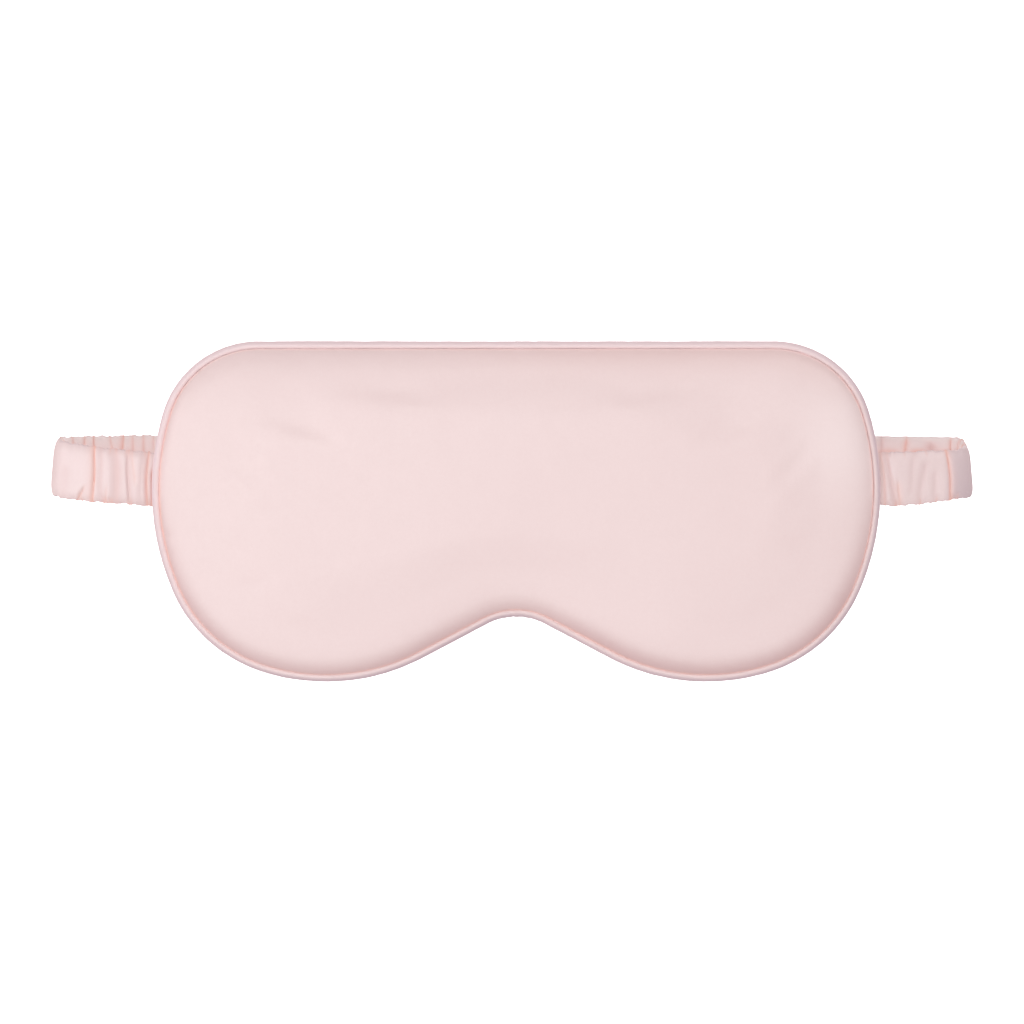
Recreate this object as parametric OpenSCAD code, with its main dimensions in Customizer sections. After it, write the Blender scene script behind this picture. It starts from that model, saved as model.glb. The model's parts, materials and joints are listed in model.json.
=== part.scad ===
// Sleep eye mask with a padded satin face, corded piping and a ruched elastic strap.
// Millimetres. +Z is up, -Y is the front of the mask, +Y points at the wearer's face.
// The origin is the middle of the back panel, where the mask rests on the face.

/* [Outline] */
// Height of the straight top edge above the middle
top_z = 49.5; // [46:0.5:53]
// Half the length of the straight top edge
top_half = 74; // [66:1:80]
// Radius of the upper corners
corner_r = 29; // [26:1:34]
// Radius of the long curve down each side
side_r = 76; // [60:1:100]
// Radius of the outer curve of each eye lobe
cheek_r = 42; // [36:1:50]
// Radius under each eye lobe
lobe_r = 60; // [50:1:70]
// Radius of the arch over the nose
nose_r = 18; // [12:1:24]

/* [Padding] */
// Height of the front panel in front of the seam
front_crown = 7; // [5:0.5:10]
// Depth of the back panel behind the seam
back_crown = 5; // [3.5:0.5:8]
// Distance from the piping over which the crown rises
crown_run = 22; // [18:1:23]
// Thickness of the satin panels
panel_t = 0.6; // [0.4:0.1:0.8]
// Thickness of the blackout liner
liner_t = 0.8; // [0.4:0.1:1]

/* [Piping] */
// Outer diameter of the piping
piping_d = 2.2; // [1.8:0.1:2.6]
// Diameter of the cord inside the piping
cord_d = 1.4; // [1:0.1:1.5]
// Width of the flange sewn between the panels
flange_w = 5; // [4:0.5:6]

/* [Strap] */
// Height of the strap's middle above the mask's middle
strap_z = 10.5; // [5:0.5:20]
// Width of the ruched casing
casing_w = 15; // [13:0.5:20]
// Thickness of the ruched casing
casing_t = 3; // [2.6:0.1:3.2]
// Width of the woven elastic
elastic_w = 12; // [8:0.5:12]
// Thickness of the woven elastic
elastic_t = 1; // [0.8:0.1:1.2]
// Length of the side link, from its seam hinge to the front of the fold
side_len = 23; // [20:1:30]
// Lean of the side link towards the back, in degrees
side_lean = 10; // [5:1:12]
// Depth of the fold, from its front to its back
fold_len = 18; // [14:1:24]
// Length of the rear outer link, from the back of the fold
rear_len = 60; // [55:1:65]
// Lean of the rear outer link away from the mask, in degrees
rear_lean = 7; // [5:1:9]

/* [Hidden] */
corner_turn = 72;
side_turn = 40;
cheek_turn = 50;
lobe_turn = 46;
seam_y = -back_crown;
seam_inset = piping_d + 0.1;
edge_rise = 0.75;
crown_power = 2.4;
wadding_inset = seam_inset + flange_w;
wadding_gap = 0.15;
wadding_steps = [4, 1.5, 0];
flange_t = 0.2;
flange_gap = 1;
cord_fit = 0.1;
thread_step = 0.6;
stitch_w = 0.3;
strap_y = seam_y + piping_d / 2 + 0.9;
end_x = 105.6;
seam_hinge_x = 110;
hinge_gap = 1.8;
slide_gap = 0.4;
centre_gap = 1;
casing_wall = 0.6;
anchor_in = 6;
anchor_gap = 0.4;
anchor_wall = 0.3;
anchor_t = 1.6;
anchor_fit = 0.1;
tack_w = 1.2;
tack_in = 4.6;
cut_past = 1;
stitch_pitch = 5.8;
stitch_len = 3.4;
first_stitch_x = -75;
last_stitch_x = 79;
satin = [0.94, 0.83, 0.82];
satin_dark = [0.88, 0.74, 0.73];
cotton = [0.95, 0.93, 0.9];
liner_black = [0.16, 0.16, 0.17];

// Headings of the outline's radii where one arc ends and the next starts
corner_end = 90 - corner_turn;
side_end = corner_end - side_turn;
cheek_end = side_end - cheek_turn;
lobe_end = cheek_end - lobe_turn;
flank_slope = -90 - lobe_end;

// Strap corners on the +X side, seen from above
side_start = [seam_hinge_x, strap_y];
fold_front = side_start + side_len * [cos(side_lean), sin(side_lean)];
fold_rear = fold_front + [0, fold_len];
rear_end = fold_rear + rear_len * [-cos(rear_lean), sin(rear_lean)];

function ray(a) = [cos(a), sin(a)];

// Points along an arc, without its last point, which the next stretch starts with
function arc(centre, r, a0, a1, n) =
    [for (i = [0 : n - 1]) centre + r * ray(a0 + (a1 - a0) * i / n)];

function line(a, b, n) = [for (i = [0 : n - 1]) a + (b - a) * i / n];

// Right half of the outline, set in by an inset, from the top middle to the nose
function half_outline(inset) =
    let (
        corner_c = [top_half, top_z - corner_r],
        side_c = corner_c - (side_r - corner_r) * ray(corner_end),
        cheek_c = side_c + (side_r - cheek_r) * ray(side_end),
        lobe_c = cheek_c - (lobe_r - cheek_r) * ray(cheek_end),
        lobe_edge = lobe_c + lobe_r * ray(lobe_end),
        flank_run = lobe_edge[0] - nose_r * sin(flank_slope),
        nose_z = lobe_edge[1] + flank_run * tan(flank_slope) - nose_r * cos(flank_slope),
        nose_c = [0, nose_z],
        corner_start = [top_half, top_z - inset],
        flank_start = lobe_c + (lobe_r - inset) * ray(lobe_end),
        flank_end = nose_c + (nose_r + inset) * ray(90 - flank_slope)
    )
    concat(
        line([0, top_z - inset], corner_start, 4),
        arc(corner_c, corner_r - inset, 90, corner_end, 9),
        arc(side_c, side_r - inset, corner_end, side_end, 4),
        arc(cheek_c, cheek_r - inset, side_end, cheek_end, 6),
        arc(lobe_c, lobe_r - inset, cheek_end, lobe_end, 6),
        line(flank_start, flank_end, 2),
        arc(nose_c, nose_r + inset, 90 - flank_slope, 90, 4),
        [nose_c + [0, nose_r + inset]]
    );

// Whole outline, set in by an inset and clockwise as the front shows it
function outline(inset) =
    let (half = half_outline(inset), n = len(half))
    concat(half, [for (i = [n - 2 : -1 : 1]) [-half[i][0], half[i][1]]]);

// The outline as a loop of 3D points, scaled towards the middle and set at a depth
function loop_at(inset, y, size = 1) = [for (p = outline(inset)) [p[0] * size, y, p[1] * size]];

// Rise of a crowned panel at an inset from the outline
function crown(inset, height) =
    let (s = min(1, max(0, (inset - seam_inset) / crown_run)))
    edge_rise + (height - edge_rise) * pow(1 - pow(1 - s, crown_power), 1 / crown_power);

function flat(lists) = [for (a = lists) for (b = a) b];

// Two triangles between neighbouring points of loops j and k, each loop n points long
function quad_faces(j, k, n) = flat([
    for (i = [0 : n - 1])
        let (a = j * n + i, b = j * n + (i + 1) % n, c = k * n + i, d = k * n + (i + 1) % n)
        [[a, c, b], [b, c, d]]
]);

// Closed solid through a list of loops, pointed at both ends
module lens(loops, first, last) {
    n = len(loops[0]);
    m = len(loops);
    polyhedron(
        points = concat(flat(loops), [first, last]),
        faces = concat(
            [for (i = [0 : n - 1]) [m * n, i, (i + 1) % n]],
            flat([for (j = [0 : m - 2]) quad_faces(j, j + 1, n)]),
            [for (i = [0 : n - 1]) [m * n + 1, (m - 1) * n + (i + 1) % n, (m - 1) * n + i]]
        ),
        convexity = 6
    );
}

// Round cord that follows the outline, its middle at an inset and a depth
module outline_cord(inset, y, d, sides) {
    loops = [
        for (i = [0 : sides - 1])
            loop_at(inset - d / 2 * cos(360 * i / sides), y + d / 2 * sin(360 * i / sides))
    ];
    n = len(loops[0]);
    polyhedron(
        points = flat(loops),
        faces = flat([for (j = [0 : sides - 1]) quad_faces(j, (j + 1) % sides, n)]),
        convexity = 6
    );
}

edge_insets = [seam_inset, 3, 4.2, 6, 9, 13, 18, seam_inset + crown_run];
edge_count = len(edge_insets);
middle_sizes = [0.25, 0.62];

// Loops of one crowned surface, from the middle out to its edge, on side -1 or 1 of the seam
function surface_loops(height, drop, side) = concat(
    [for (s = middle_sizes) loop_at(edge_insets[edge_count - 1], seam_y + side * (height - drop), s)],
    [for (i = [edge_count - 1 : -1 : 0])
        loop_at(edge_insets[i], seam_y + side * (crown(edge_insets[i], height) - drop))]
);

function reverse(list) = [for (i = [len(list) - 1 : -1 : 0]) list[i]];

// Satin panel: an outer surface and an inner one, joined at the edge
module panel(height, side) {
    outer = surface_loops(height, 0, side);
    inner = reverse(surface_loops(height, panel_t, side));
    loops = concat(outer, inner);
    front = [0, seam_y + side * height, 0];
    rear = [0, seam_y + side * (height - panel_t), 0];
    if (side < 0) lens(loops, front, rear);
    else lens(reverse(loops), rear, front);
}

// Wadding layer between the blackout liner and a panel
module wadding(height, side) {
    near = liner_t / 2 + wadding_gap;
    top = height - panel_t - wadding_gap;
    insets = [for (s = wadding_steps) wadding_inset + s];
    crowned = concat(
        [for (s = middle_sizes) loop_at(edge_insets[edge_count - 1], seam_y + side * top, s)],
        [loop_at(edge_insets[edge_count - 1], seam_y + side * top)],
        [for (d = insets) loop_at(d, seam_y + side * (crown(d, height) - panel_t - wadding_gap))]
    );
    loops = concat(crowned, [loop_at(wadding_inset, seam_y + side * near)]);
    front = [0, seam_y + side * top, 0];
    rear = [0, seam_y + side * near, 0];
    if (side < 0) lens(loops, front, rear);
    else lens(reverse(loops), rear, front);
}

// Flat sheet in the seam plane, inside an outline inset
module seam_sheet(inset, t) {
    translate([0, seam_y + t / 2, 0])
        rotate([90, 0, 0])
            linear_extrude(t) polygon(outline(inset));
}

module front_panel() {
    color(satin) panel(front_crown, -1);
}

module back_panel() {
    color(satin) panel(back_crown, 1);
}

module front_wadding() {
    color(cotton) wadding(front_crown, -1);
}

module back_wadding() {
    color(cotton) wadding(back_crown, 1);
}

module blackout_liner() {
    color(liner_black) seam_sheet(wadding_inset, liner_t);
}

module piping_casing() {
    color(satin_dark) difference() {
        union() {
            outline_cord(piping_d / 2, seam_y, piping_d, 10);
            difference() {
                seam_sheet(piping_d / 2, flange_t);
                seam_sheet(wadding_inset - flange_gap, 2 * flange_t);
            }
        }
        outline_cord(piping_d / 2, seam_y, cord_d + 2 * cord_fit, 10);
    }
}

module piping_cord() {
    color(cotton) outline_cord(piping_d / 2, seam_y, cord_d, 8);
}

module seam_thread() {
    color(satin_dark) outline_cord(seam_inset + thread_step, seam_y, stitch_w, 6);
}

// Row of short stitches in the ditch under the top piping
module closing_stitches() {
    color(satin_dark)
        for (x = [first_stitch_x : stitch_pitch : last_stitch_x - stitch_len])
            translate([x, seam_y - edge_rise, top_z - seam_inset - stitch_w / 2])
                rotate([0, 90, 0])
                    cylinder(h = stitch_len, d = stitch_w, $fn = 16);
}

// Flat band section with round edges, as wide as Z and as thick as Y
module band_section(w, t) {
    square([t, w - t], center = true);
    for (s = [-1, 1])
        translate([0, s * (w - t) / 2])
            circle(d = t, $fn = 32);
}

// Band of a length along a heading, starting at a point seen from above
module band(start, heading, length, w, t) {
    translate([start[0], start[1], strap_z])
        rotate([90, 0, heading + 90])
            linear_extrude(length) band_section(w, t);
}

module casing_link(start, heading, from, to) {
    place = start + from * ray(heading);
    difference() {
        band(place, heading, to - from, casing_w, casing_t);
        band(place - cut_past * ray(heading), heading, to - from + 2 * cut_past,
            casing_w - 2 * casing_wall, casing_t - 2 * casing_wall);
    }
}

module elastic_link(start, heading, from, to) {
    band(start + from * ray(heading), heading, to - from, elastic_w, elastic_t);
}

// Strap links on the +X side: a casing when casing is true, else the elastic inside it
module link(casing, start, heading, from, to) {
    if (casing) color(satin) casing_link(start, heading, from, to);
    else color(cotton) elastic_link(start, heading, from, to);
}

module strap_end(casing) {
    link(casing, [end_x, strap_y], 0, 0, seam_hinge_x - end_x - hinge_gap);
}

module strap_side(casing) {
    link(casing, side_start, side_lean, hinge_gap, side_len - hinge_gap);
}

module fold_front_casing() {
    link(true, fold_front, 90, hinge_gap, (fold_len - slide_gap) / 2);
}

module fold_rear_casing() {
    link(true, fold_front, 90, (fold_len + slide_gap) / 2, fold_len - hinge_gap);
}

module fold_elastic() {
    link(false, fold_front, 90, hinge_gap, fold_len - hinge_gap);
}

module strap_rear(casing) {
    link(casing, fold_rear, 180 - rear_lean, hinge_gap, rear_len - hinge_gap);
}

module strap_centre(casing) {
    link(casing, rear_end, 180, hinge_gap, rear_end[0] - centre_gap);
}

// Strap end sewn into the seam, pressed flat
module anchor(casing) {
    start = [end_x - anchor_gap - anchor_in, strap_y];
    inner_t = anchor_t - 2 * anchor_wall;
    if (casing)
        color(satin) difference() {
            band(start, 0, anchor_in, casing_w, anchor_t);
            band(start - [cut_past, 0], 0, anchor_in + 2 * cut_past,
                casing_w - 2 * anchor_wall, inner_t);
        }
    else color(cotton) band(start, 0, anchor_in, elastic_w, inner_t - 2 * anchor_fit);
}

// Close zigzag of thread through the sewn-in strap end
module bar_tack() {
    color(satin_dark)
        translate([end_x - tack_in, strap_y - anchor_t / 2 - stitch_w, strap_z - elastic_w / 2])
            cube([tack_w, anchor_t + 2 * stitch_w, elastic_w]);
}

module left() {
    mirror([1, 0, 0]) children();
}

front_panel();
back_panel();
front_wadding();
back_wadding();
blackout_liner();
piping_casing();
piping_cord();
seam_thread();
closing_stitches();
left() anchor(true);  // left_anchor_casing
left() anchor(false);  // left_anchor_elastic
left() bar_tack();  // left_bar_tack
anchor(true);  // right_anchor_casing
anchor(false);  // right_anchor_elastic
bar_tack();  // right_bar_tack
left() strap_end(true);  // left_end_casing
left() strap_end(false);  // left_end_elastic
left() strap_side(true);  // left_side_casing
left() strap_side(false);  // left_side_elastic
left() fold_front_casing();  // left_fold_front_casing
left() fold_rear_casing();  // left_fold_rear_casing
left() fold_elastic();  // left_fold_elastic
left() strap_rear(true);  // left_rear_casing
left() strap_rear(false);  // left_rear_elastic
left() strap_centre(true);  // left_centre_casing
left() strap_centre(false);  // left_centre_elastic
strap_end(true);  // right_end_casing
strap_end(false);  // right_end_elastic
strap_side(true);  // right_side_casing
strap_side(false);  // right_side_elastic
fold_front_casing();  // right_fold_front_casing
fold_rear_casing();  // right_fold_rear_casing
fold_elastic();  // right_fold_elastic
strap_rear(true);  // right_rear_casing
strap_rear(false);  // right_rear_elastic
strap_centre(true);  // right_centre_casing
strap_centre(false);  // right_centre_elastic
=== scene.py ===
"""A padded satin sleep mask: cloth-simulated face panels, corded piping and a ruched elastic strap."""

import json
import math

import bpy
import numpy as np
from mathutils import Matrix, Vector
from mathutils.geometry import delaunay_2d_cdt


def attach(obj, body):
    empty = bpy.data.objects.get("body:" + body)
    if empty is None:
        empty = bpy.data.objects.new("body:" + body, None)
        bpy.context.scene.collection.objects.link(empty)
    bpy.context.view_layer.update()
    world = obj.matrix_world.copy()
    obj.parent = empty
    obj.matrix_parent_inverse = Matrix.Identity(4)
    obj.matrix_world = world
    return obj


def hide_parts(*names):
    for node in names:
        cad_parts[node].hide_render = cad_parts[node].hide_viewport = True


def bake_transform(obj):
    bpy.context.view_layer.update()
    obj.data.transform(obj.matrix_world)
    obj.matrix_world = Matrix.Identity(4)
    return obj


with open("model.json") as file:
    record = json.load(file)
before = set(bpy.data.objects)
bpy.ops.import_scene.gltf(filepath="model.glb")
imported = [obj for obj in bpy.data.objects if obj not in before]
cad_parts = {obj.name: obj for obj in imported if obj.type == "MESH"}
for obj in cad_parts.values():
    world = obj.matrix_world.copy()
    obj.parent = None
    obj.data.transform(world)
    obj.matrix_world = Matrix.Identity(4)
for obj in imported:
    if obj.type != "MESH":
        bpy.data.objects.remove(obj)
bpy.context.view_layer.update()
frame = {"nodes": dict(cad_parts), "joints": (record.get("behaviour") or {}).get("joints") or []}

MM = 0.001

# Mask outline, in millimetres: a straight top edge, arcs down each side, and the nose arch
TOP_Z = 49.5  # height of the top edge
TOP_HALF = 74.0  # half the length of its straight stretch
CORNER_R = 29.0  # radii of the arcs, from the top corner down
SIDE_R = 76.0
CHEEK_R = 42.0
LOBE_R = 60.0
NOSE_R = 18.0
CORNER_END = 18.0  # directions, in degrees, in which the arcs end
SIDE_END = -22.0
CHEEK_END = -72.0
LOBE_END = -118.0
FLANK_SLOPE = 28.0  # slope of the straight flank beside the nose arch
MEAN_R = 85.0  # rough radius of the whole outline

# Padding and piping
SEAM_Y = -5.0  # depth of the seam
FRONT_CROWN = 7.3  # rise of each panel's middle over the seam
BACK_CROWN = 5.2
RIM_INSET = 2.06  # distance from the outline to the panels' sewn edge
RIM_LIFT = 0.9  # rise of that edge over the seam
RIM_RUN = 5.6  # width of the steep roll beside the piping
CROWN_RUN = 26.0  # width of the shallow dome inside it
SWELL_CAP = 1.6  # furthest that the simulated filling may push the satin
PIPING_R = 1.3
PIPING_FLAT = 0.88  # thickness of the piping over its width
PIPING_IN = 1.25  # distance from the outline to the piping's middle
# Surface of the front wadding: distance from the outline, and rise over the seam
WADDING_TOP = ((7.3, 4.53), (8.8, 4.94), (11.3, 5.44), (24.3, 6.25))

# Strap, seen from above on the +X side
STRAP_Y = -3.0  # depth at which it leaves the seam
STRAP_Z = 10.5  # height of its joints
SEWN_Z = STRAP_Z - 1.1  # height of its middle where it is sewn in
SEWN_IN = 1.8  # how much deeper than STRAP_Y its sewn end lies
CASING_HALF = 7.5
ELASTIC_HALF = 6.0
TACK_DEPTHS = (-5.05, -3.45)  # the bar tack's stitches on the two faces of the sewn end
TUCK = 1.5  # how far the left end is tucked into the right one at the back
JOIN_PUFF = 0.8  # fullness of both ends where they meet
BROAD = 0.75  # creases at least this wide are soft folds, and narrower ones are sharp


# ---------------------------------------------------------------- outline


def ray(degrees):
    """Unit vector at an angle from the first axis."""
    a = math.radians(degrees)
    return np.array([math.cos(a), math.sin(a)])


def half_outline(step=0.1):
    """Points and outward normals of the right half, from the top middle to the nose."""
    corner_c = np.array([TOP_HALF, TOP_Z - CORNER_R])
    side_c = corner_c - (SIDE_R - CORNER_R) * ray(CORNER_END)
    cheek_c = side_c + (SIDE_R - CHEEK_R) * ray(SIDE_END)
    lobe_c = cheek_c - (LOBE_R - CHEEK_R) * ray(CHEEK_END)
    lobe_edge = lobe_c + LOBE_R * ray(LOBE_END)
    slope = math.radians(FLANK_SLOPE)
    flank_run = lobe_edge[0] - NOSE_R * math.sin(slope)
    nose_z = lobe_edge[1] + flank_run * math.tan(slope) - NOSE_R * math.cos(slope)
    nose_c = np.array([0.0, nose_z])
    points, normals = [], []

    def line(a, b, normal):
        n = max(2, int(np.linalg.norm(b - a) / step))
        for i in range(n):
            points.append(a + (b - a) * i / n)
            normals.append(normal)

    def arc(centre, r, a0, a1, sign=1):
        n = max(2, int(abs(math.radians(a1 - a0)) * r / step))
        for i in range(n):
            direction = ray(a0 + (a1 - a0) * i / n)
            points.append(centre + r * direction)
            normals.append(sign * direction)

    line(np.array([0.0, TOP_Z]), np.array([TOP_HALF, TOP_Z]), np.array([0.0, 1.0]))
    arc(corner_c, CORNER_R, 90, CORNER_END)
    arc(side_c, SIDE_R, CORNER_END, SIDE_END)
    arc(cheek_c, CHEEK_R, SIDE_END, CHEEK_END)
    arc(lobe_c, LOBE_R, CHEEK_END, LOBE_END)
    line(lobe_edge, nose_c + NOSE_R * ray(90 - FLANK_SLOPE), ray(LOBE_END))
    arc(nose_c, NOSE_R, 90 - FLANK_SLOPE, 90, -1)
    points.append(nose_c + np.array([0.0, NOSE_R]))
    normals.append(np.array([0.0, -1.0]))
    return np.array(points), np.array(normals)


def outline(count):
    """count points, evenly spaced round the whole outline, and their outward normals."""
    p, n = half_outline()
    mirror = np.array([-1.0, 1.0])
    p = np.vstack([p, p[-2:0:-1] * mirror])
    n = np.vstack([n, n[-2:0:-1] * mirror])
    closed = np.vstack([p, p[:1]])
    run = np.concatenate([[0], np.cumsum(np.linalg.norm(np.diff(closed, axis=0), axis=1))])
    at = np.linspace(0, run[-1], count, endpoint=False)
    both = np.vstack([np.hstack([p, n]), np.hstack([p, n])[:1]])
    out = np.array([np.interp(at, run, both[:, k]) for k in range(4)]).T
    normals = out[:, 2:] / np.linalg.norm(out[:, 2:], axis=1)[:, None]
    return out[:, :2], normals, at, run[-1]


# ---------------------------------------------------------------- meshes


def new_object(name, points_mm, faces):
    """A smooth-shaded mesh object, from points in millimetres."""
    mesh = bpy.data.meshes.new(name)
    mesh.from_pydata((np.asarray(points_mm) * MM).tolist(), [], faces)
    mesh.validate()
    mesh.polygons.foreach_set("use_smooth", [True] * len(mesh.polygons))
    mesh.update()
    obj = bpy.data.objects.new(name, mesh)
    bpy.context.scene.collection.objects.link(obj)
    return obj


def grid_faces(rows, columns, wrap_rows=False, wrap_columns=True):
    """Quads over rows by columns of points, joined up where the grid wraps."""
    faces = []
    for j in range(rows if wrap_rows else rows - 1):
        for i in range(columns if wrap_columns else columns - 1):
            a = j * columns + i
            b = j * columns + (i + 1) % columns
            c = (j + 1) % rows * columns + (i + 1) % columns
            d = (j + 1) % rows * columns + i
            faces.append((a, b, c, d))
    return faces


def paint(obj, name, values):
    """Stores one number a point, for the material to read."""
    layer = obj.data.attributes.new(name, "FLOAT", "POINT")
    layer.data.foreach_set("value", np.asarray(values, np.float32))


def smooth_noise(x, seed, pitch):
    """Smooth one-dimensional noise from -1 to 1, with about one swing per pitch."""
    count, middle = 4096, 1000
    knots = np.random.default_rng(seed).uniform(-1, 1, count)
    t = np.asarray(x, float) / pitch + middle
    i = np.floor(t).astype(int)
    f = t - i
    f = f * f * (3 - 2 * f)
    return knots[i % count] * (1 - f) + knots[(i + 1) % count] * f


# ---------------------------------------------------------------- materials


# Texture scales, per metre
DRIFT = 22
GRAIN = 1100
GLOSS = 600
WARP = 900
SLUB = 1800
RELIEF = 0.00008  # depth of the weave, in metres

# Colours that all the satins share: painted shade in creases and ditches, and painted light
CREASE_SHADE = (0.89, 0.43, 0.34)
PAINTED_LIGHT_TINT = (0.96, 0.80, 0.79)


def satin(name, colour, shade, painted_shade, weave=0.12):
    """Satin: a broad soft gloss, a fine warp-faced weave and slow drifts of colour.

    Painted shade darkens it where the attribute edge is painted and deepens it where crease is painted;
    painted light makes it paler."""
    mat = bpy.data.materials.new(name)
    mat.use_nodes = True
    tree = mat.node_tree
    nodes, links = tree.nodes, tree.links
    shader = nodes["Principled BSDF"]
    shader.inputs["IOR"].default_value = 2.0
    shader.inputs["Specular IOR Level"].default_value = 1.0
    shader.inputs["Sheen Weight"].default_value = 0.1
    shader.inputs["Sheen Roughness"].default_value = 0.4
    shader.inputs["Sheen Tint"].default_value = (1.0, 0.88, 0.9, 1)
    where = nodes.new("ShaderNodeTexCoord")

    def noise(scale, detail):
        texture = nodes.new("ShaderNodeTexNoise")
        texture.inputs["Scale"].default_value = scale
        texture.inputs["Detail"].default_value = detail
        links.new(where.outputs["Object"], texture.inputs["Vector"])
        return texture.outputs["Fac"]

    def spread(value, low, high):
        span = nodes.new("ShaderNodeMapRange")
        span.inputs["From Min"].default_value = 0.3
        span.inputs["From Max"].default_value = 0.7
        span.inputs["To Min"].default_value = low
        span.inputs["To Max"].default_value = high
        links.new(value, span.inputs["Value"])
        return span.outputs["Result"]

    def mixed(first, second, factor):
        mix = nodes.new("ShaderNodeMix")
        mix.data_type = "RGBA"
        for socket, value in (("A", first), ("B", second)):
            if isinstance(value, tuple):
                mix.inputs[socket].default_value = (*value, 1)
            else:
                links.new(value, mix.inputs[socket])
        links.new(factor, mix.inputs["Factor"])
        return mix.outputs["Result"]

    drift = mixed(colour, shade, spread(noise(DRIFT, 3), 0.0, 0.4))
    shown = mixed(drift, shade, spread(noise(GRAIN, 2), 0.0, 0.35))
    # Painted light, painted shade along edges, then painted shade in creases: each mixes the colour
    # toward its tint as far as its attribute says
    for attribute, tint in (("painted_light", PAINTED_LIGHT_TINT), ("edge", painted_shade), ("crease", CREASE_SHADE)):
        amount = nodes.new("ShaderNodeAttribute")
        amount.attribute_name = attribute
        shown = mixed(shown, tint, amount.outputs["Fac"])
    links.new(shown, shader.inputs["Base Color"])
    links.new(spread(noise(GLOSS, 3), 0.40, 0.50), shader.inputs["Roughness"])

    warp = nodes.new("ShaderNodeTexWave")
    warp.wave_type = "BANDS"
    warp.bands_direction = "X"
    warp.inputs["Scale"].default_value = WARP
    warp.inputs["Distortion"].default_value = 2
    warp.inputs["Detail"].default_value = 1
    links.new(where.outputs["Object"], warp.inputs["Vector"])
    both = nodes.new("ShaderNodeMath")
    both.operation = "ADD"
    links.new(warp.outputs["Fac"], both.inputs[0])
    links.new(noise(SLUB, 2), both.inputs[1])
    bump = nodes.new("ShaderNodeBump")
    bump.inputs["Strength"].default_value = weave
    bump.inputs["Distance"].default_value = RELIEF
    links.new(both.outputs["Value"], bump.inputs["Height"])
    links.new(bump.outputs["Normal"], shader.inputs["Normal"])
    return mat


def fibre(name, colour, shade, scale, roughness, depth):
    """Thread, wadding, knit or woven rib: two colours in a bumpy grain of one scale."""
    mat = bpy.data.materials.new(name)
    mat.use_nodes = True
    tree = mat.node_tree
    nodes, links = tree.nodes, tree.links
    shader = nodes["Principled BSDF"]
    shader.inputs["Roughness"].default_value = roughness
    shader.inputs["Sheen Weight"].default_value = 0.2
    where = nodes.new("ShaderNodeTexCoord")
    grain = nodes.new("ShaderNodeTexNoise")
    grain.inputs["Scale"].default_value = scale
    grain.inputs["Detail"].default_value = 4
    links.new(where.outputs["Object"], grain.inputs["Vector"])
    tone = nodes.new("ShaderNodeMix")
    tone.data_type = "RGBA"
    tone.inputs["A"].default_value = (*colour, 1)
    tone.inputs["B"].default_value = (*shade, 1)
    links.new(grain.outputs["Fac"], tone.inputs["Factor"])
    links.new(tone.outputs["Result"], shader.inputs["Base Color"])
    bump = nodes.new("ShaderNodeBump")
    bump.inputs["Strength"].default_value = 0.5
    bump.inputs["Distance"].default_value = depth
    links.new(grain.outputs["Fac"], bump.inputs["Height"])
    links.new(bump.outputs["Normal"], shader.inputs["Normal"])
    return mat


# Main colour, the darker colour of its random drifts and grain, and the tint of its painted shade, of
# both panels
PANEL_COLOURS = (0.85, 0.64, 0.63), (0.81, 0.59, 0.58), (0.62, 0.35, 0.35)
FACE = satin("face_satin", *PANEL_COLOURS)
BACK = satin("back_satin", *PANEL_COLOURS)
# The third colours of the piping and of the strap are the tints of their painted shade.
TRIM = satin("piping_satin", (0.84, 0.63, 0.645), (0.80, 0.58, 0.60), (0.54, 0.38, 0.43), 0.16)
RUCHED = satin("strap_satin", (0.86, 0.66, 0.655), (0.82, 0.60, 0.595), (0.58, 0.42, 0.46), 0.14)
# The thread's colour is partly its own and partly painted shade: darkened to how it shows in the shade
# of the ditch.
THREAD = fibre("thread", (0.66, 0.34, 0.29), (0.58, 0.28, 0.24), 3000, 0.6, 0.00005)
WADDING = fibre("wadding", (0.90, 0.89, 0.86), (0.80, 0.79, 0.76), 500, 0.95, 0.0006)
LINER = fibre("liner", (0.012, 0.012, 0.014), (0.03, 0.03, 0.034), 1500, 0.85, 0.0001)
CORD = fibre("cord", (0.88, 0.85, 0.80), (0.76, 0.73, 0.68), 1200, 0.8, 0.0002)
ELASTIC = fibre("elastic", (0.90, 0.86, 0.85), (0.78, 0.73, 0.72), 1600, 0.6, 0.0001)


def dress(obj, material):
    """Gives a piece its material."""
    obj.data.materials.clear()
    obj.data.materials.append(material)


# ---------------------------------------------------------------- pad


def facing(rise):
    """Turns the upward part of the outline's normal into 1 at the top edge and -1 at the lobes."""
    return np.sign(rise) * np.clip((np.abs(rise) - 0.4) / 0.5, 0, 1)


def dome(distance, run, power):
    """Rounded step from 0 at the seam to 1 a run away from it."""
    s = np.clip(distance / run, 0, 1)
    return (1 - (1 - s) ** power) ** (1 / power)


def crown(inset, height, up):
    """A steep roll next to the seam under a shallow dome; up is 1 at the top and -1 at the lobes."""
    roll = 0.54 - 0.28 * np.maximum(up, 0) + 0.12 * np.maximum(-up, 0)
    depth = inset - RIM_INSET
    shape = roll * dome(depth, RIM_RUN, 2.2) + (1 - roll) * dome(depth, CROWN_RUN, 2.0)
    return RIM_LIFT + (height - RIM_LIFT) * shape


def inset_of(points, rim, chunk=400):
    """Distance of each point from the mask's outline, and the nearest place on it."""
    out, near = np.empty(len(points)), np.empty(len(points), int)
    for i in range(0, len(points), chunk):
        gap = ((points[i:i + chunk, None, :] - rim[None]) ** 2).sum(2)
        near[i:i + chunk] = gap.argmin(1)
        out[i:i + chunk] = np.sqrt(gap.min(1))
    return out, near


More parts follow.
